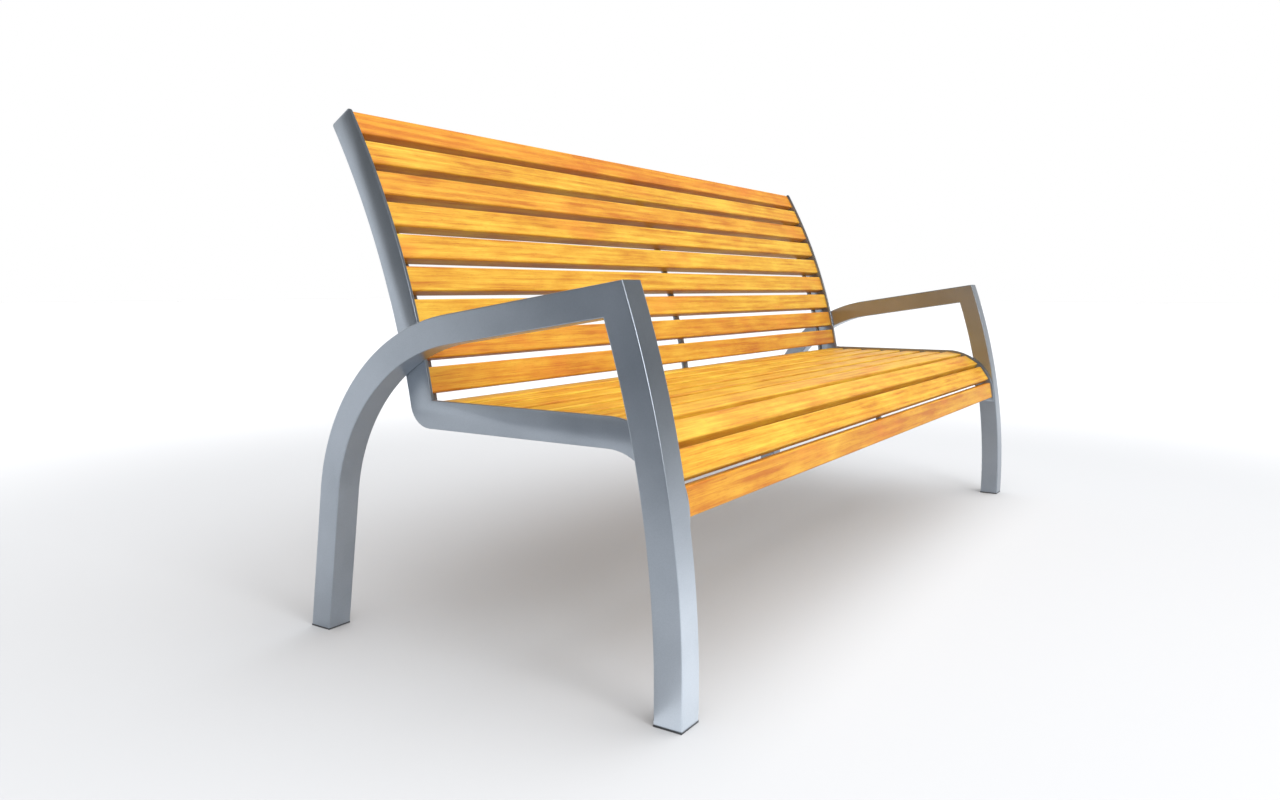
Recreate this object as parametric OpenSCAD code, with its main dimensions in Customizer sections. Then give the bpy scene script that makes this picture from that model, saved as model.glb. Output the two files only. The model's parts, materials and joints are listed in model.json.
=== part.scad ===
// Slatted garden bench: two bent square-tube end frames, two curved side plates,
// and timber slats screwed from behind to three flat steel strips.
// Frame: +Z up, X along the bench, the front towards -Y, origin on the floor at the centre.

/* [Bench] */
// Length over the two end frames
bench_length = 1800; // [1400:10:2200]
// Depth over the feet
bench_depth = 749; // [700:1:900]

/* [End frames] */
// Outside size of the square tube
tube_size = 45; // [36:0.5:54]
// Wall of the square tube
tube_wall = 3; // [2:0.5:4]
// Height of the front corner of the arm
arm_height = 593; // [540:1:680]
// Fall of the arm towards the back, in degrees
arm_slope = 8.8; // [4:0.1:12]
// Forward lean of the rear leg, in degrees
rear_lean = 8.6; // [4:0.1:12]
// Outside radius of the bend from arm to rear leg
rear_bend_r = 355; // [250:1:380]
// Bow radius of the front leg, on its front face
front_bow_r = 1622; // [1300:1:2400]
// Height at which the front leg stands furthest forward
front_bow_z = 48; // [0:1:150]
// Thickness of the glide under each leg
glide_t = 3; // [2:0.5:10]
// Length of the glide's plug inside the tube
glide_plug = 16; // [8:1:30]

/* [Side plates] */
// Thickness of the side plates
plate_t = 6; // [4:0.5:10]
// Depth of the side plates under the seat
rail_depth = 46; // [42:0.5:60]
// Depth of the side plates behind the back
upright_depth = 48; // [44:0.5:60]
// Front of the side plates behind the front face of the leg
plate_setback = 3; // [0:0.5:10]
// Outer radius of the side plates where the seat rolls over at the front
rollover_r = 131; // [120:1:150]
// Straight end of the side plates below the rollover
rollover_tail = 10; // [0:1:30]
// Front of the side plates to the inner corner of seat and back
seat_depth = 471; // [440:1:540]
// Bow radius of the back, on the front edge of the side plates
back_r = 1437; // [1200:1:2000]
// Height above the floor of the centre of that bow, which sets the recline
back_centre_z = 154; // [100:1:260]
// Radius of the rear lower corner of the side plates
corner_r = 40; // [20:1:60]
// Rounding of the top end of the side plates
plate_end_r = 4; // [1:0.5:8]

/* [Slats] */
// Height of the seat surface
seat_height = 400; // [380:1:450]
// Width of a slat
slat_w = 42; // [36:0.5:42]
// Thickness of a seat slat
seat_slat_t = 23; // [20:0.5:30]
// Thickness of a back slat
back_slat_t = 31; // [20:0.5:32]
// Edge radius on the face of a slat
slat_face_r = 3; // [1:0.5:6]
// Edge radius on the back of a slat
slat_back_r = 5; // [1:0.5:7]
// Slat faces behind the edge of the side plates
slat_inset = 6; // [3:0.5:10]
// Angle between slats on the rollover
rollover_step = 24.2; // [24:0.1:26]
// Angle of the first rollover slat from level
rollover_first = 7.1; // [4:0.1:9]
// Rear edge of the last seat slat behind the inner corner of the side plates
seat_tuck = 19.5; // [10:0.5:22]
// Centre-to-centre step of the back slats
back_step = 55.6; // [50:0.1:65]
// Centre of the lowest back slat above the seat surface, along the back
back_start = 37.5; // [34:0.5:45]

/* [Strips and screws] */
// Width of the steel strips
strip_w = 20; // [16:1:40]
// Thickness of the steel strips
strip_t = 5; // [3:0.5:6]
// Clear space between an outer strip and its side plate
strip_gap = 23; // [15:1:60]
// Bend radius of the strips between seat and back
strip_bend_r = 10; // [8:1:12]
// Length of a lug along the strip
lug_l = 25; // [15:1:30]
// Shank diameter of the slat screws
screw_d = 5; // [4:0.5:6]
// Head diameter of the slat screws
screw_head_d = 11; // [9:0.5:13]
// Length of a screw inside its slat
screw_bite = 16; // [10:1:17]

/* [Hidden] */
seat_slats = 10;
rollover_slats = 4;
back_slats = 9;
screw_head_h = 3;
screw_fit = 0.15;           // all round a shank in its hole
head_seat = 0.25;           // under a flat screw head, which sits on a curved strip
glide_fit = 0.4;            // all round a plug in its tube
hole_relief = 1;            // a screw hole is this much deeper than its screw
socket_d = 4.5;
socket_depth = 1.5;
strip_end_margin = 6;       // strips stop this far inside the slats they carry
lug_seat_slats = [2, 6, 9];
lug_back_slats = [2, 5, 8];
arc_chord = 8;              // length of the flats along a bend
arc_steps = 6;              // at least this many flats in a bend
round_fn = 48;
eps = 0.01;

// places in the side view are [y, z]
half_tube = tube_size / 2;
frame_x = bench_length / 2 - half_tube;
plate_x = bench_length / 2 - tube_size - plate_t;
strip_x = plate_x - strip_gap - strip_w / 2;
front_y = -bench_depth / 2;
rear_y = bench_depth / 2;

// front leg: an arc whose centre lies far behind the bench
leg_c = [front_y + front_bow_r, front_bow_z];
function leg_face_y(z) = leg_c[0] - sqrt(pow(front_bow_r, 2) - pow(z - leg_c[1], 2));

// arm: outer corner, direction towards the back and upward normal
arm_corner = [leg_face_y(arm_height), arm_height];
arm_dir = [cos(arm_slope), -sin(arm_slope)];
arm_up = [sin(arm_slope), cos(arm_slope)];
// inner corner: the underside of the arm meets the rear face of the front leg
inner_start = arm_corner - tube_size * arm_up - leg_c;
inner_b = inner_start * arm_dir;
inner_s = -inner_b - sqrt(pow(inner_b, 2) - inner_start * inner_start + pow(front_bow_r - tube_size, 2));
arm_inner = inner_start + leg_c + inner_s * arm_dir;

// rear bend: tangent to the top of the arm and the back of the rear leg
lean_out = [cos(rear_lean), sin(rear_lean)];
arm_level = arm_up * arm_corner - rear_bend_r;
leg_level = lean_out * [rear_y, 0] - rear_bend_r;
bend_det = -cos(arm_slope + rear_lean);
bend_c = [(arm_level * lean_out[1] - leg_level * arm_up[1]) / bend_det,
          (arm_up[0] * leg_level - lean_out[0] * arm_level) / bend_det];

// side plates
rail_top = seat_height + slat_inset;
rail_bottom = rail_top - rail_depth;
roll_z = rail_top - rollover_r;
plate_front_y = leg_face_y(roll_z) + plate_setback;
roll_c = [plate_front_y + rollover_r, roll_z];
inner_corner_y = plate_front_y + seat_depth;
back_c = [inner_corner_y + sqrt(pow(back_r, 2) - pow(rail_top - back_centre_z, 2)), back_centre_z];
upright_r = back_r - upright_depth;
corner_c = [back_c[0] - sqrt(pow(upright_r + corner_r, 2) - pow(rail_bottom + corner_r - back_c[1], 2)),
            rail_bottom + corner_r];
corner_t = atan2(corner_c[1] - back_c[1], back_c[0] - corner_c[0]);

// slats: each place is [y, z, tilt about X] at the middle of the slat's face, then its thickness
slat_l = 2 * plate_x;
roll_face_r = rollover_r - slat_inset;
back_face_r = back_r - slat_inset;
seat_t = asin((seat_height - back_c[1]) / back_face_r);
function on_roll(a) = [roll_c[0] - roll_face_r * sin(a), roll_c[1] + roll_face_r * cos(a), a];
function on_back(t) = [back_c[0] - back_face_r * cos(t), back_c[1] + back_face_r * sin(t), 90 - t];
function roll_angle(i) = rollover_first + (rollover_slats - i) * rollover_step;
function back_angle(i) = seat_t + (back_start + (back_slats - i) * back_step) / back_face_r * 180 / PI;
last_seat_y = inner_corner_y + seat_tuck - slat_w / 2;
first_level_y = on_roll(rollover_first)[0];
seat_step = (last_seat_y - first_level_y) / (seat_slats - rollover_slats);
function seat_place(i) = concat(i <= rollover_slats ? on_roll(roll_angle(i))
    : [first_level_y + (i - rollover_slats) * seat_step, seat_height, 0], seat_slat_t);
function back_place(i) = concat(on_back(back_angle(i)), back_slat_t);
all_places = concat([for (i = [1:seat_slats]) seat_place(i)], [for (i = [1:back_slats]) back_place(i)]);
top_t = back_angle(1) + asin(slat_w / 2 / back_face_r);

// strips: they follow the backs of the slats
strip_roll_r = roll_face_r - seat_slat_t;
strip_level = seat_height - seat_slat_t;
strip_back_r = back_face_r - back_slat_t;
strip_bend_z = strip_level + strip_bend_r;
strip_c = [back_c[0] - sqrt(pow(strip_back_r + strip_bend_r, 2) - pow(strip_bend_z - back_c[1], 2)), strip_bend_z];
strip_bend_t = atan2(strip_c[1] - back_c[1], back_c[0] - strip_c[0]);
strip_front_a = roll_angle(1) + asin((slat_w / 2 - strip_end_margin) / roll_face_r);
strip_top_t = top_t - asin(strip_end_margin / strip_back_r);
strip_xs = [-strip_x, 0, strip_x];

steel = "lightslategray";
timber = "sandybrown";
dark = "dimgray";
zinc = "silver";

// turns a drawing in the side view into a solid along X
module side_view() rotate([90, 0, 90]) children();

// points along an arc, the angles counted from +y towards +z
function arc(c, r, a0, a1) =
    let (steps = max(arc_steps, ceil(abs(a1 - a0) * PI / 180 * r / arc_chord)))
    [for (k = [0:steps]) c + r * [cos(a0 + (a1 - a0) * k / steps), sin(a0 + (a1 - a0) * k / steps)]];

function reversed(points) = [for (k = [len(points) - 1:-1:0]) points[k]];

// one face of the front leg, upwards from a height to an end on the same arc
function front_leg_side(r, z0, end) =
    arc(leg_c, r, 180 + asin((leg_c[1] - z0) / r), 180 - asin((end[1] - leg_c[1]) / r));

// one face of the arm, the bend and the rear leg, from a height on the leg to an end of the arm
function arm_side(r, z0, end) =
    let (leg_top = bend_c + r * lean_out)
    concat([leg_top + (leg_top[1] - z0) / cos(rear_lean) * [sin(rear_lean), -cos(rear_lean)]],
           arc(bend_c, r, rear_lean, 90 - arm_slope), [end]);

// side views of the two tubes and of their bores, which run out at both ends
module front_leg_outline() {
    polygon(concat(front_leg_side(front_bow_r, glide_t, arm_corner),
                   reversed(front_leg_side(front_bow_r - tube_size, glide_t, arm_inner))));
}

module front_leg_bore(fit) {
    inset = tube_wall + fit;
    past = [0, arm_height + tube_size];
    polygon(concat(front_leg_side(front_bow_r - inset, -tube_size, past),
                   reversed(front_leg_side(front_bow_r - tube_size + inset, -tube_size, past))));
}

module arm_outline() {
    polygon(concat(arm_side(rear_bend_r, glide_t, arm_corner),
                   reversed(arm_side(rear_bend_r - tube_size, glide_t, arm_inner))));
}

module arm_bore(fit) {
    inset = tube_wall + fit;
    past = arm_corner - 2 * tube_size * arm_dir;
    polygon(concat(arm_side(rear_bend_r - inset, -tube_size, past - inset * arm_up),
                   reversed(arm_side(rear_bend_r - tube_size + inset, -tube_size,
                                     past - (tube_size - inset) * arm_up))));
}

// square tube from the side view of its outside and of its bore
module square_tube(side) {
    color(steel)
        translate([side * frame_x, 0, 0])
            side_view()
                difference() {
                    linear_extrude(tube_size, center = true) children(0);
                    linear_extrude(tube_size - 2 * tube_wall, center = true) children(1);
                }
}

module front_leg(side) square_tube(side) {
    front_leg_outline();
    front_leg_bore(0);
}

module arm_and_rear_leg(side) square_tube(side) {
    arm_outline();
    arm_bore(0);
}

module heights(z0, z1) {
    translate([-bench_depth, z0]) square([2 * bench_depth, z1 - z0]);
}

// a pad under the tube and a plug up inside it: children are the pad's and the plug's side views
module glide(side) {
    plug = tube_size - 2 * tube_wall - 2 * glide_fit;
    color(dark)
        translate([side * frame_x, 0, 0])
            side_view() {
                linear_extrude(tube_size, center = true) children(0);
                linear_extrude(plug, center = true)
                    intersection() { children(1); heights(glide_t / 2, glide_t + glide_plug); }
            }
}

module front_glide(side) glide(side) {
    polygon(concat(front_leg_side(front_bow_r, 0, [0, glide_t]),
                   reversed(front_leg_side(front_bow_r - tube_size, 0, [0, glide_t]))));
    front_leg_bore(glide_fit);
}

module rear_glide(side) glide(side) {
    leg_slope = tan(rear_lean);
    pad_w = tube_size / cos(rear_lean);
    polygon([[rear_y, 0], [rear_y - glide_t * leg_slope, glide_t],
             [rear_y - glide_t * leg_slope - pad_w, glide_t], [rear_y - pad_w, 0]]);
    arm_bore(glide_fit);
}

module side_plate(side) {
    roll_in = rollover_r - rail_depth;
    inner_t = asin((rail_top - back_c[1]) / back_r);
    // centres of the two rounded corners at the top end
    end_t = top_t - asin(plate_end_r / upright_r);
    front_end_c = back_c + (back_r - plate_end_r) * [-cos(end_t), sin(end_t)];
    rear_end_c = back_c + (upright_r + plate_end_r) * [-cos(end_t), sin(end_t)];
    color(steel)
        translate([side * (plate_x + plate_t / 2), 0, 0])
            side_view()
                linear_extrude(plate_t, center = true)
                    polygon(concat(
                        [[plate_front_y, roll_z - rollover_tail]],
                        arc(roll_c, rollover_r, 180, 90),
                        arc(back_c, back_r, 180 - inner_t, 180 - end_t),
                        arc(front_end_c, plate_end_r, 180 - end_t, 90 - end_t),
                        arc(rear_end_c, plate_end_r, 90 - end_t, -end_t),
                        arc(back_c, upright_r, 180 - end_t, 180 - corner_t),
                        arc(corner_c, corner_r, -corner_t, -90),
                        arc(roll_c, roll_in, 90, 180),
                        [[plate_front_y + rail_depth, roll_z - rollover_tail]]));
}

module strip_outline() {
    polygon(concat(
        arc(roll_c, strip_roll_r, 90 + strip_front_a, 90),
        arc(strip_c, strip_bend_r, -90, -strip_bend_t),
        arc(back_c, strip_back_r, 180 - strip_bend_t, 180 - strip_top_t),
        arc(back_c, strip_back_r - strip_t, 180 - strip_top_t, 180 - strip_bend_t),
        arc(strip_c, strip_bend_r + strip_t, -strip_bend_t, -90),
        arc(roll_c, strip_roll_r - strip_t, 90, 90 + strip_front_a)));
}

module at_place(place) translate([0, place[0], place[1]]) rotate([place[2], 0, 0]) children();

// strip is -1 for the left, 0 for the centre and 1 for the right
module strip(side) {
    color(steel)
        translate([side * strip_x, 0, 0])
            difference() {
                side_view()
                    linear_extrude(strip_w, center = true) strip_outline();
                for (place = all_places)
                    at_place(place)
                        translate([0, 0, -place[3] - 2 * strip_t])
                            cylinder(h = 3 * strip_t, d = screw_d + 2 * screw_fit, $fn = round_fn);
            }
}

// short flats that join the outer strips to the side plates, hidden behind slats
module strip_lugs() {
    places = concat([for (i = lug_seat_slats) seat_place(i)], [for (i = lug_back_slats) back_place(i)]);
    color(steel)
        for (side = [-1, 1], place = places)
            at_place(place)
                translate([side * (plate_x - strip_gap / 2), 0, -place[3] - strip_t / 2])
                    cube([strip_gap, lug_l, strip_t], center = true);
}

module slat_outline(slat_t) {
    flat_w = slat_w - 2 * slat_back_r;
    translate([-slat_w / 2, -slat_t + slat_back_r]) square([slat_w, slat_t - slat_back_r - slat_face_r]);
    translate([-slat_w / 2 + slat_face_r, -slat_face_r - eps]) square([slat_w - 2 * slat_face_r, slat_face_r + eps]);
    translate([-flat_w / 2, -slat_t]) square([flat_w, slat_back_r + eps]);
    for (s = [-1, 1]) {
        translate([s * (slat_w / 2 - slat_face_r), -slat_face_r]) circle(slat_face_r, $fn = round_fn);
        translate([s * flat_w / 2, -slat_t + slat_back_r]) circle(slat_back_r, $fn = round_fn);
    }
}

module slat(place) {
    color(timber)
        at_place(place)
            difference() {
                side_view()
                    linear_extrude(slat_l, center = true) slat_outline(place[3]);
                for (x = strip_xs)
                    translate([x, 0, -place[3] - hole_relief])
                        cylinder(h = screw_bite + 2 * hole_relief, d = screw_d + 2 * screw_fit, $fn = round_fn);
            }
}

// screw with its head under the strip, pointing into the slat
module slat_screw() {
    difference() {
        union() {
            cylinder(h = screw_head_h, d1 = screw_head_d - screw_head_h, d2 = screw_head_d, $fn = round_fn);
            cylinder(h = screw_head_h + strip_t + screw_bite, d = screw_d, $fn = round_fn);
        }
        translate([0, 0, -socket_depth]) cylinder(h = 2 * socket_depth, d = socket_d, $fn = 6);
    }
}

module slat_screws() {
    color(zinc)
        for (place = all_places, x = strip_xs)
            at_place(place)
                translate([x, 0, -place[3] - strip_t - screw_head_h - head_seat]) slat_screw();
}

front_leg(-1);  // left_front_leg
front_leg(1);  // right_front_leg
arm_and_rear_leg(-1);  // left_arm_and_rear_leg
arm_and_rear_leg(1);  // right_arm_and_rear_leg
front_glide(-1);  // left_front_glide
front_glide(1);  // right_front_glide
rear_glide(-1);  // left_rear_glide
rear_glide(1);  // right_rear_glide
side_plate(-1);  // left_side_plate
side_plate(1);  // right_side_plate
strip(-1);  // left_strip
strip(0);  // centre_strip
strip(1);  // right_strip
strip_lugs();
slat_screws();
for (i = [1:seat_slats])
    slat(seat_place(i));
for (i = [1:back_slats])
    slat(back_place(i));
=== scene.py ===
# Slatted park bench: powder-coated tube and plate frames, oiled hardwood slats.
import math
import json
import bpy
import bmesh
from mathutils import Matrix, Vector
from mathutils.kdtree import KDTree


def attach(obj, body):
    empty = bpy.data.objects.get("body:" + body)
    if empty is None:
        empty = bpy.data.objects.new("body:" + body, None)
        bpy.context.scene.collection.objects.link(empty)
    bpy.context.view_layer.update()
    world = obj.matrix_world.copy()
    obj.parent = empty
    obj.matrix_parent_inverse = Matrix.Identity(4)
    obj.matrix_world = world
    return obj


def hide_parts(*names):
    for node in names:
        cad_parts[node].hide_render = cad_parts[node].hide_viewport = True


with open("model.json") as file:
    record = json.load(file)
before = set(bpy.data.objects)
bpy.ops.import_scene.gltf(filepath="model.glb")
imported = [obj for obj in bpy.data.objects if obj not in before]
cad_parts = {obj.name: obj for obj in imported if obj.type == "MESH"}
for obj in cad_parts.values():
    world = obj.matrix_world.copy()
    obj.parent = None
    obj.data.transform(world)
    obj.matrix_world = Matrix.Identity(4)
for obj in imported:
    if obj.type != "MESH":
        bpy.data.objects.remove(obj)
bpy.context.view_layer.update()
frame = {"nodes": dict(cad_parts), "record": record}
nodes = frame["nodes"]
scene = bpy.context.scene
print("frame loaded:", len(nodes), "nodes")


def hexColour(code):
    # sRGB hex to the linear colour that the shaders take
    parts = [int(code[i:i + 2], 16) / 255 for i in (1, 3, 5)]
    linear = [c / 12.92 if c <= 0.04045 else ((c + 0.055) / 1.055) ** 2.4 for c in parts]
    return (*linear, 1.0)


def newMaterial(name):
    material = bpy.data.materials.new(name)
    material.use_nodes = True
    material.node_tree.nodes.clear()
    return material


def addNode(tree, kind, settings=None, links=None):
    # one node, its properties or socket values, and what feeds its sockets
    node = tree.nodes.new(kind)
    for key, value in (settings or {}).items():
        if isinstance(key, str) and hasattr(node, key):
            setattr(node, key, value)
        else:
            node.inputs[key].default_value = value
    for socket, source in (links or {}).items():
        tree.links.new(source, node.inputs[socket])
    return node


def fillRamp(ramp, places, colours):
    elements = ramp.color_ramp.elements
    while len(elements) < len(places):
        elements.new(0.5)
    for element, place, colour in zip(elements, places, colours):
        element.position = place
        element.color = hexColour(colour)


cameraView = {
    "place": (-1.9166, -0.9747, 0.5808),   # metres, in the bench's frame
    "turn": 56.76,                         # degrees from +Y towards +X
    "tilt": 6.69,                          # degrees below level
    "lens": 26.6,
    "sensor": 36,                          # mm across
}

cameraData = bpy.data.cameras.new("camera")
cameraData.lens = cameraView["lens"]
cameraData.sensor_width = cameraView["sensor"]
camera = bpy.data.objects.new("camera", cameraData)
camera.location = cameraView["place"]
camera.rotation_euler = (math.radians(90 - cameraView["tilt"]), 0, -math.radians(cameraView["turn"]))
scene.collection.objects.link(camera)
scene.camera = camera
print("camera set")


# Square tube, plate and strip, shot-blasted, zinc-rich primed and powder-coated in a metallic
# blue-grey: a satin skin that blurs reflections, with very fine sparkle and a slight orange peel.
steelLook = {
    "dark": "#9BA3AC",
    "light": "#ADB5BE",
    "tintRange": (0.35, 0.85),
    "metallic": 0.93,
    "roughness": (0.27, 0.39),  # least and most, over broad clouds
    "cloudScale": 7,
    "peelMm": 2.2,              # size of an orange-peel dimple
    "peelStrength": 0.06,
    "peelDepth": 0.0004,
    "sparkleMm": 0.9,           # flakes are finer in life, drawn coarse enough to show
    "sparkleWeight": 0.25,
}


def powderCoatedSteel():
    look = steelLook
    material = newMaterial("powderCoatedSteel")
    tree = material.node_tree
    place = addNode(tree, "ShaderNodeTexCoord").outputs["Object"]
    cloud = addNode(tree, "ShaderNodeTexNoise", {"Scale": look["cloudScale"], "Detail": 3}, {"Vector": place})
    flake = addNode(tree, "ShaderNodeTexVoronoi", {"Scale": 1000 / look["sparkleMm"]}, {"Vector": place})
    mixed = addNode(tree, "ShaderNodeMath", {"operation": "MULTIPLY_ADD", 1: look["sparkleWeight"]},
                    {0: flake.outputs["Color"], 2: cloud.outputs["Fac"]})
    tint = addNode(tree, "ShaderNodeValToRGB", {}, {"Fac": mixed.outputs[0]})
    fillRamp(tint, look["tintRange"], (look["dark"], look["light"]))
    peel = addNode(tree, "ShaderNodeTexNoise", {"Scale": 1000 / look["peelMm"], "Detail": 2},
                   {"Vector": place})
    bump = addNode(tree, "ShaderNodeBump", {"Strength": look["peelStrength"], "Distance": look["peelDepth"]},
                   {"Height": peel.outputs["Fac"]})
    rough = addNode(tree, "ShaderNodeMapRange",
                    {"To Min": look["roughness"][0], "To Max": look["roughness"][1]},
                    {"Value": cloud.outputs["Fac"]})
    surface = addNode(tree, "ShaderNodeBsdfPrincipled", {"Metallic": look["metallic"]},
                      {"Base Color": tint.outputs["Color"], "Roughness": rough.outputs["Result"],
                       "Normal": bump.outputs["Normal"]})
    addNode(tree, "ShaderNodeOutputMaterial", {}, {"Surface": surface.outputs[0]})
    return material


# Golden hardwood, planed and oiled: straight growth rings, long fine fibres, short dark pores
# and broad warm and pale clouds that differ from slat to slat, under a soft sheen.
timberLook = {
    "deep": "#9A5A18",
    "mid": "#B48224",
    "pale": "#C39E36",
    "toneStops": (0.15, 0.5, 0.85),
    "warm": "#BD7029",          # what the redder slats lean towards
    "pore": "#6E3D14",
    "roughness": (0.37, 0.55),  # least and most, from fibre to fibre
    "specular": 0.24,           # oil dries duller than varnish
    "tone": 0.56,               # the tone before any pattern, then how far each one swings it
    "cloudWeight": 1.3,
    "bandWeight": 1.0,
    "fibreWeight": 0.9,
    "ringWeight": 0.16,
    "seedSpan": 100,            # an object's index is its seed plus this many times its warmth
    "warmthStep": 0.001,        # tone lost for each unit of the index above the seed
    "warmthTint": 1.6,          # how strongly the same warmth tints
    "fibreMm": 1.8,             # width of a fibre streak, coarser than life so that it shows
    "fibreStretch": 38,         # a streak is this many times longer than wide
    "bandMm": 7,                # width of a run of darker or paler fibres
    "bandStretch": 30,
    "ringMm": 9,                # spacing of growth rings on the face
    "ringStretch": 60,
    "ringScale": 0.32,          # waves in a spacing, which sets how broad a ring reads
    "ringWander": 5.0,
    "cloudMm": 45,              # width of a warm or pale patch
    "blushMm": 67.5,            # width of a redder patch
    "cloudStretch": 3.2,
    "blushRange": (0.52, 0.75),
    "blushTint": 0.6,
    "poreMm": 1.1,
    "poreStretch": 11,
    "poreRange": (0.6, 0.72),
    "poreTint": 0.5,
    "grainStrength": 0.25,
    "grainDepth": 0.0004,
}


def oiledHardwood():
    look = timberLook
    material = newMaterial("oiledHardwood")
    tree = material.node_tree
    place = addNode(tree, "ShaderNodeTexCoord").outputs["Object"]
    # an object's index holds its seed below the span and how warm it is above
    index = addNode(tree, "ShaderNodeObjectInfo").outputs["Object Index"]
    seed = addNode(tree, "ShaderNodeMath", {"operation": "MODULO", 1: look["seedSpan"]},
                   {0: index}).outputs[0]
    warmth = addNode(tree, "ShaderNodeMath", {"operation": "MULTIPLY", 1: look["warmthStep"]},
                     {0: addNode(tree, "ShaderNodeMath", {"operation": "SUBTRACT"},
                                 {0: index, 1: seed}).outputs[0]}).outputs[0]

    def drawnOut(widthMm, stretch):
        # coordinates in which a pattern of this width is drawn out along the slat
        across = 1000 / widthMm
        return addNode(tree, "ShaderNodeVectorMath",
                       {"operation": "MULTIPLY", 1: (across / stretch, across, across)},
                       {0: place}).outputs[0]

    def streaks(widthMm, stretch, detail, roughness=0.6):
        return addNode(tree, "ShaderNodeTexNoise",
                       {"noise_dimensions": "4D", "Scale": 1, "Detail": detail, "Roughness": roughness},
                       {"Vector": drawnOut(widthMm, stretch), "W": seed}).outputs["Fac"]

    def addTo(total, pattern, weight):
        # a pattern swings about a half, so only its swing is added
        swing = addNode(tree, "ShaderNodeMath", {"operation": "SUBTRACT", 1: 0.5}, {0: pattern})
        return addNode(tree, "ShaderNodeMath", {"operation": "MULTIPLY_ADD", 1: weight},
                       {0: swing.outputs[0], 2: total}).outputs[0]

    fibre = streaks(look["fibreMm"], look["fibreStretch"], 3)
    band = streaks(look["bandMm"], look["bandStretch"], 3)
    cloud = streaks(look["cloudMm"], look["cloudStretch"], 4)
    pore = streaks(look["poreMm"], look["poreStretch"], 2)
    rings = addNode(tree, "ShaderNodeTexWave",
                    {"wave_type": "BANDS", "bands_direction": "DIAGONAL", "wave_profile": "SIN",
                     "Scale": look["ringScale"], "Distortion": look["ringWander"], "Detail": 2,
                     "Detail Scale": 0.6},
                    {"Vector": drawnOut(look["ringMm"], look["ringStretch"]),
                     "Phase Offset": seed}).outputs["Fac"]

    tone = addNode(tree, "ShaderNodeMath", {"operation": "SUBTRACT", 0: look["tone"]}, {1: warmth}).outputs[0]
    for pattern, weight in ((cloud, "cloudWeight"), (band, "bandWeight"),
                            (fibre, "fibreWeight"), (rings, "ringWeight")):
        tone = addTo(tone, pattern, look[weight])
    wood = addNode(tree, "ShaderNodeValToRGB", {}, {"Fac": tone})
    fillRamp(wood, look["toneStops"], (look["deep"], look["mid"], look["pale"]))
    blush = addNode(tree, "ShaderNodeMapRange",
                    {"From Min": look["blushRange"][0], "From Max": look["blushRange"][1],
                     "To Max": look["blushTint"]},
                    {"Value": streaks(look["blushMm"], look["cloudStretch"], 4, 0.65)})
    redder = addNode(tree, "ShaderNodeMath",
                     {"operation": "MULTIPLY_ADD", 1: look["warmthTint"], "use_clamp": True},
                     {0: warmth, 2: blush.outputs["Result"]})
    warmed = addNode(tree, "ShaderNodeMix", {"data_type": "RGBA", 7: hexColour(look["warm"])},
                     {0: redder.outputs[0], 6: wood.outputs["Color"]})
    poreMask = addNode(tree, "ShaderNodeMapRange",
                       {"From Min": look["poreRange"][0], "From Max": look["poreRange"][1],
                        "To Max": look["poreTint"]}, {"Value": pore})
    colour = addNode(tree, "ShaderNodeMix", {"data_type": "RGBA", 7: hexColour(look["pore"])},
                     {0: poreMask.outputs["Result"], 6: warmed.outputs[2]})
    rough = addNode(tree, "ShaderNodeMapRange",
                    {"To Min": look["roughness"][0], "To Max": look["roughness"][1]},
                    {"Value": fibre})
    relief = addNode(tree, "ShaderNodeMath", {"operation": "SUBTRACT"},
                     {0: fibre, 1: poreMask.outputs["Result"]})
    bump = addNode(tree, "ShaderNodeBump",
                   {"Strength": look["grainStrength"], "Distance": look["grainDepth"]},
                   {"Height": relief.outputs[0]})
    surface = addNode(tree, "ShaderNodeBsdfPrincipled",
                      {"IOR": 1.5, "Specular IOR Level": look["specular"]},
                      {"Base Color": colour.outputs[2], "Roughness": rough.outputs["Result"],
                       "Normal": bump.outputs["Normal"]})
    addNode(tree, "ShaderNodeOutputMaterial", {}, {"Surface": surface.outputs[0]})
    return material


# Injection-moulded polyethylene glides: near black, dull, with a fine spark-eroded texture.
glideLook = {
    "dark": "#3A3C3E",
    "light": "#4A4C4F",
    "tintRange": (0.3, 0.7),
    "gritScale": 1200,
    "gritStrength": 0.2,
    "gritDepth": 0.0003,
    "roughness": 0.6,
}


def mouldedPolyethylene():
    look = glideLook
    material = newMaterial("mouldedPolyethylene")
    tree = material.node_tree
    place = addNode(tree, "ShaderNodeTexCoord").outputs["Object"]
    grit = addNode(tree, "ShaderNodeTexNoise", {"Scale": look["gritScale"], "Detail": 2}, {"Vector": place})
    tint = addNode(tree, "ShaderNodeValToRGB", {}, {"Fac": grit.outputs["Fac"]})
    fillRamp(tint, look["tintRange"], (look["dark"], look["light"]))
    bump = addNode(tree, "ShaderNodeBump", {"Strength": look["gritStrength"], "Distance": look["gritDepth"]},
                   {"Height": grit.outputs["Fac"]})
    surface = addNode(tree, "ShaderNodeBsdfPrincipled", {"Roughness": look["roughness"], "IOR": 1.5},
                      {"Base Color": tint.outputs["Color"], "Normal": bump.outputs["Normal"]})
    addNode(tree, "ShaderNodeOutputMaterial", {}, {"Surface": surface.outputs[0]})
    return material


# Stainless steel screws, cold-headed: bright with faint turning marks.
screwLook = {
    "dark": "#A7A8AA",
    "light": "#C9C9CA",
    "tintRange": (0.3, 0.7),
    "marksScale": 900,          # turning marks are finer in life, drawn coarse enough to show
    "roughness": (0.22, 0.4),
}


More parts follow.
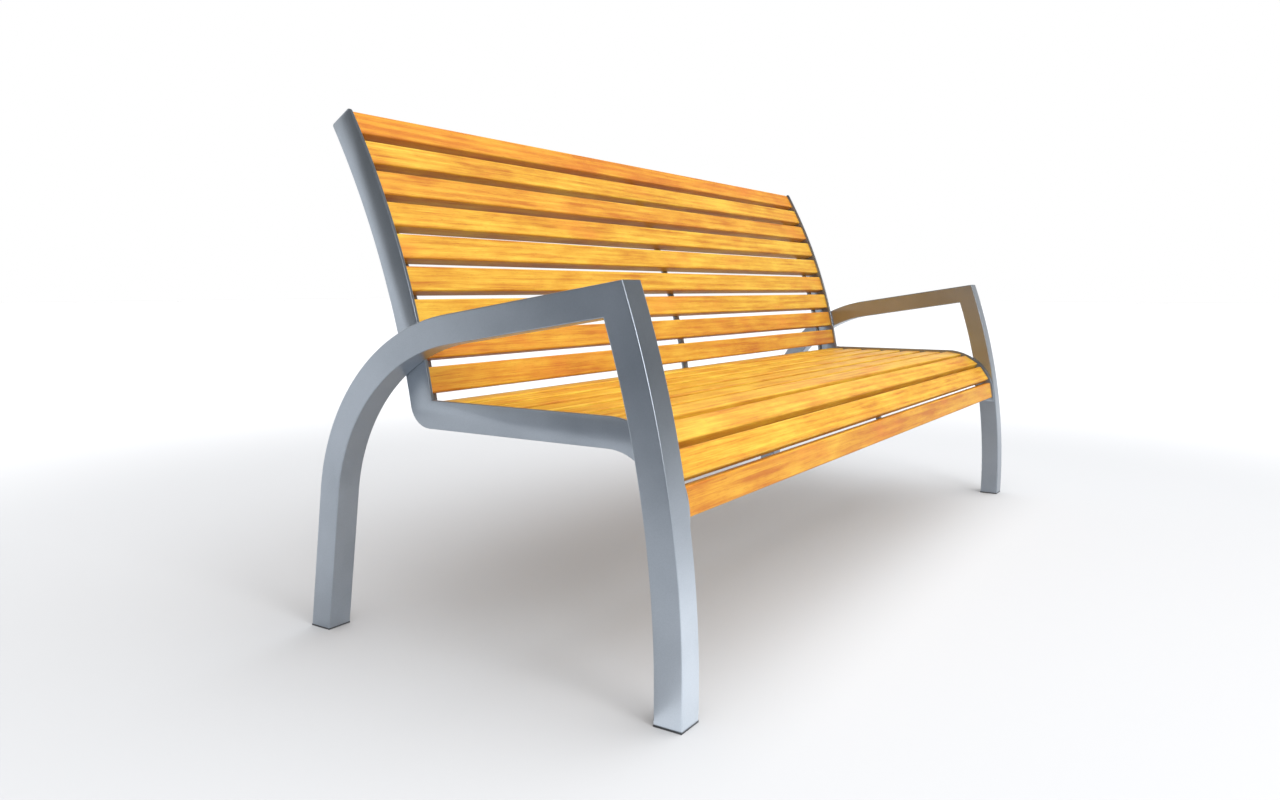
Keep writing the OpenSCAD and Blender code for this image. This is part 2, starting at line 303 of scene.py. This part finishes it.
def coldHeadedStainless():
    look = screwLook
    material = newMaterial("coldHeadedStainless")
    tree = material.node_tree
    place = addNode(tree, "ShaderNodeTexCoord").outputs["Object"]
    marks = addNode(tree, "ShaderNodeTexNoise", {"Scale": look["marksScale"], "Detail": 3}, {"Vector": place})
    tint = addNode(tree, "ShaderNodeValToRGB", {}, {"Fac": marks.outputs["Fac"]})
    fillRamp(tint, look["tintRange"], (look["dark"], look["light"]))
    rough = addNode(tree, "ShaderNodeMapRange",
                    {"To Min": look["roughness"][0], "To Max": look["roughness"][1]},
                    {"Value": marks.outputs["Fac"]})
    surface = addNode(tree, "ShaderNodeBsdfPrincipled", {"Metallic": 1.0},
                      {"Base Color": tint.outputs["Color"], "Roughness": rough.outputs["Result"]})
    addNode(tree, "ShaderNodeOutputMaterial", {}, {"Surface": surface.outputs[0]})
    return material


finishes = {
    "steel": powderCoatedSteel(),
    "timber": oiledHardwood(),
    "glide": mouldedPolyethylene(),
    "screw": coldHeadedStainless(),
}
print("materials made")


edgeBreaks = {
    "tubeMm": 2.0,      # outside radius of the square tube
    "tubeSteps": 3,
    "plateMm": 0.8,     # laser-cut edge under its coat
    "glideMm": 0.6,
    "plainSteps": 2,
    "sharpAngle": 35,   # edges flatter than this are facets of a curve and shade smooth
    "flatAngle": 0.3,   # faces closer than this in angle are one flat
    "joinAt": 0.00001,  # metres within which corners are one
    "meetAt": 0.0001,   # metres within which a corner lies on a neighbour or at the foot
}


def facesMeetingAt(mesh, neighbour):
    # faces that lie against another tube, all of whose corners that tube shares
    tree = KDTree(len(neighbour.data.vertices))
    for i, vertex in enumerate(neighbour.data.vertices):
        tree.insert(vertex.co, i)
    tree.balance()
    return {face for face in mesh.faces
            if all(tree.find(v.co)[2] < edgeBreaks["meetAt"] for v in face.verts)}


def smoothFacets(piece):
    for face in piece.data.polygons:
        face.use_smooth = True
    piece.data.set_sharp_from_angle(angle=math.radians(edgeBreaks["sharpAngle"]))


def roundedTube(name, neighbour):
    # rounds the tube's long edges, inside and out, and leaves the cut ends crisp so that the
    # weld at the front corner of the arm is flush
    mesh = bmesh.new()
    mesh.from_mesh(nodes[name].data)
    bmesh.ops.remove_doubles(mesh, verts=mesh.verts, dist=edgeBreaks["joinAt"])
    bmesh.ops.dissolve_limit(mesh, angle_limit=math.radians(edgeBreaks["flatAngle"]),
                             verts=mesh.verts, edges=mesh.edges)
    foot = min(vertex.co.z for vertex in mesh.verts) + edgeBreaks["meetAt"]
    ends = facesMeetingAt(mesh, nodes[neighbour])
    ends |= {face for face in mesh.faces if all(v.co.z < foot for v in face.verts)}
    longEdges = [edge for edge in mesh.edges
                 if len(edge.link_faces) == 2 and not ends & set(edge.link_faces)
                 and edge.calc_face_angle() > math.radians(edgeBreaks["sharpAngle"])]
    bmesh.ops.bevel(mesh, geom=longEdges, offset=edgeBreaks["tubeMm"] / 1000, offset_type="OFFSET",
                    segments=edgeBreaks["tubeSteps"], profile=0.5, affect="EDGES", clamp_overlap=False)
    data = bpy.data.meshes.new(name + "_tube")
    mesh.to_mesh(data)
    mesh.free()
    tube = bpy.data.objects.new(name + "_tube", data)
    scene.collection.objects.link(tube)
    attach(tube, "root")
    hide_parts(name)
    smoothFacets(tube)
    tube.modifiers.new("flatFacesFirst", "WEIGHTED_NORMAL").keep_sharp = True
    return tube


def softenEdges(piece, widthMm):
    # joins the faces along each edge, then rounds what is sharper than the angle
    for face in piece.data.polygons:
        face.use_smooth = True
    weld = piece.modifiers.new("joinFaces", "WELD")
    weld.merge_threshold = edgeBreaks["joinAt"]
    flatten = piece.modifiers.new("oneFacePerFlat", "DECIMATE")
    flatten.decimate_type = "DISSOLVE"
    flatten.angle_limit = math.radians(edgeBreaks["flatAngle"])
    bevel = piece.modifiers.new("edgeBreak", "BEVEL")
    bevel.width = widthMm / 1000
    bevel.segments = edgeBreaks["plainSteps"]
    bevel.limit_method = "ANGLE"
    bevel.angle_limit = math.radians(edgeBreaks["sharpAngle"])
    bevel.harden_normals = True


def giveFinish(piece, slot):
    piece.data.materials.clear()
    piece.data.materials.append(finishes[slot])


for side in ("left", "right"):
    frontLeg, arm = side + "_front_leg", side + "_arm_and_rear_leg"
    giveFinish(roundedTube(frontLeg, arm), "steel")
    giveFinish(roundedTube(arm, frontLeg), "steel")
print("end frames rounded")

slotOf = {part["node"]: part["material_slot"] for part in frame["record"]["subparts"]}
warmSlats = {"back_slat_1": 2, "back_slat_3": 1, "back_slat_8": 1, "back_slat_9": 1, "seat_slat_1": 1}
seed = 0
for name in sorted(nodes):
    piece = nodes[name]
    slot = slotOf[name]
    giveFinish(piece, slot)
    if slot == "timber":
        seed += 1
        piece.pass_index = seed + timberLook["seedSpan"] * warmSlats.get(name, 0)
        for face in piece.data.polygons:
            face.use_smooth = True
    elif slot == "glide":
        softenEdges(piece, edgeBreaks["glideMm"])
    elif slot == "steel" and not name.endswith("_leg") and name != "strip_lugs":
        softenEdges(piece, edgeBreaks["plateMm"])
print("slats, plates, strips and screws finished")


floorLook = {
    "size": 80,
    # the near grey is painted shade around the bench; the far grey is the plain floor
    "shadedNear": "#B2B3B5",
    "far": "#CBCCCE",
    "fullShadeRadius": 1.6,      # metres from the bench's centre, within which the floor carries the full painted shade
    "shadeEndRadius": 3.6,
    "fibreScale": 700,
    "fibreStrength": 0.02,
    "fibreDepth": 0.0002,
}

bpy.ops.mesh.primitive_plane_add(size=floorLook["size"], location=(0, 0, 0))
floor = bpy.context.object
floor.name = "floor"


def rolledPaper():
    # matt grey studio paper, lit until it reads white, with a faint fibre; its colour is painted darker near
    # the bench, painted shade that deepens the bench's shadow, and paler further out
    look = floorLook
    material = newMaterial("rolledPaper")
    tree = material.node_tree
    place = addNode(tree, "ShaderNodeTexCoord").outputs["Object"]
    fibre = addNode(tree, "ShaderNodeTexNoise", {"Scale": look["fibreScale"], "Detail": 2}, {"Vector": place})
    bump = addNode(tree, "ShaderNodeBump",
                   {"Strength": look["fibreStrength"], "Distance": look["fibreDepth"]},
                   {"Height": fibre.outputs["Fac"]})
    radius = addNode(tree, "ShaderNodeVectorMath", {"operation": "LENGTH"}, {0: place}).outputs["Value"]
    # painted shade: the floor colour fades from the darker near grey to the paler far grey with distance from
    # the bench
    shadeFade = addNode(tree, "ShaderNodeMapRange",
                   {"interpolation_type": "SMOOTHSTEP", "From Min": look["fullShadeRadius"],
                    "From Max": look["shadeEndRadius"]}, {"Value": radius})
    tint = addNode(tree, "ShaderNodeMix",
                   {"data_type": "RGBA", 6: hexColour(look["shadedNear"]), 7: hexColour(look["far"])},
                   {0: shadeFade.outputs["Result"]})
    surface = addNode(tree, "ShaderNodeBsdfPrincipled", {"Roughness": 1.0, "Specular IOR Level": 0.0},
                      {"Base Color": tint.outputs[2], "Normal": bump.outputs["Normal"]})
    addNode(tree, "ShaderNodeOutputMaterial", {}, {"Surface": surface.outputs[0]})
    return material


floor.data.materials.append(rolledPaper())

roomLook = {
    "backdropTowards": (0.545, 0.839, -0.9),    # the bright, low wall behind the bench
    "backdropFrom": 0.0,                        # how far a direction agrees with it
    "backdropTo": 0.31,
    "backdrop": 1.0,
    "room": 0.14,
}

world = bpy.data.worlds.new("studioRoom")
scene.world = world
world.use_nodes = True
worldTree = world.node_tree
worldTree.nodes.clear()
heading = addNode(worldTree, "ShaderNodeTexCoord").outputs["Generated"]
facing = addNode(worldTree, "ShaderNodeVectorMath",
                 {"operation": "DOT_PRODUCT", 1: roomLook["backdropTowards"]}, {0: heading})
fade = addNode(worldTree, "ShaderNodeMapRange",
               {"From Min": roomLook["backdropFrom"], "From Max": roomLook["backdropTo"],
                "To Min": roomLook["room"], "To Max": roomLook["backdrop"]},
               {"Value": facing.outputs["Value"]})
sky = addNode(worldTree, "ShaderNodeBackground", {"Color": (1, 1, 1, 1)},
              {"Strength": fade.outputs["Result"]})
addNode(worldTree, "ShaderNodeOutputWorld", {}, {"Surface": sky.outputs[0]})

# the key is a ceiling of soft boxes, which the metal doesn't mirror; the front light draws the
# line along the front edges of the near end frame
lamps = {
    "key": {"place": (0.48, -1.8, 3.52), "target": (0, 0, 0), "power": 6.1, "spread": 110},
    "front": {"place": (-1.6, -3.4, 1.7), "target": (-0.4, 0, 0.4), "power": 50, "size": 1.4},
    "card": {"place": (-0.5, -0.72, 0.004), "target": (-0.5, -0.72, 1), "power": 2.2, "size": (1.1, 0.8)},
}


def addLight(name, kind, look, **settings):
    data = bpy.data.lights.new(name, kind)
    data.energy = look["power"]
    for key, value in settings.items():
        setattr(data, key, value)
    lamp = bpy.data.objects.new(name, data)
    lamp.location = look["place"]
    lamp.rotation_euler = (Vector(look["target"]) - Vector(look["place"])).to_track_quat("-Z", "Y").to_euler()
    scene.collection.objects.link(lamp)
    return lamp


keyLight = addLight("keyLight", "SUN", lamps["key"], angle=math.radians(lamps["key"]["spread"]))
keyLight.visible_glossy = False
addLight("frontLight", "AREA", lamps["front"], shape="DISK", size=lamps["front"]["size"])
# a pale card on the floor before the near leg, seen only in the metal
floorCard = addLight("floorCard", "AREA", lamps["card"], shape="RECTANGLE",
                     size=lamps["card"]["size"][0], size_y=lamps["card"]["size"][1])
floorCard.visible_camera = False
floorCard.visible_diffuse = False

# a grey cloth hung beside the bench, seen only in the metal: it draws the outer faces darker
# towards the top
clothLook = {
    "place": (-2.05, 0.05, 0.6),
    "size": (1.9, 1.2),
    "colour": "#767A80",
    "weaveScale": 400,
    "weaveStrength": 0.1,
    "weaveDepth": 0.0003,
}


def greyCloth():
    look = clothLook
    material = newMaterial("greyCloth")
    tree = material.node_tree
    place = addNode(tree, "ShaderNodeTexCoord").outputs["Object"]
    weave = addNode(tree, "ShaderNodeTexNoise", {"Scale": look["weaveScale"], "Detail": 2}, {"Vector": place})
    bump = addNode(tree, "ShaderNodeBump",
                   {"Strength": look["weaveStrength"], "Distance": look["weaveDepth"]},
                   {"Height": weave.outputs["Fac"]})
    surface = addNode(tree, "ShaderNodeBsdfPrincipled",
                      {"Base Color": hexColour(look["colour"]), "Roughness": 1.0, "Specular IOR Level": 0.0},
                      {"Normal": bump.outputs["Normal"]})
    addNode(tree, "ShaderNodeOutputMaterial", {}, {"Surface": surface.outputs[0]})
    return material


bpy.ops.mesh.primitive_plane_add(size=1, location=clothLook["place"], rotation=(math.pi / 2, 0, math.pi / 2))
flag = bpy.context.object
flag.name = "sideFlag"
flag.scale = (*clothLook["size"], 1)
flag.data.materials.append(greyCloth())
flag.visible_camera = False
flag.visible_diffuse = False
flag.visible_shadow = False

scene.view_settings.view_transform = "Standard"
scene.view_settings.look = "None"
print("studio lit")
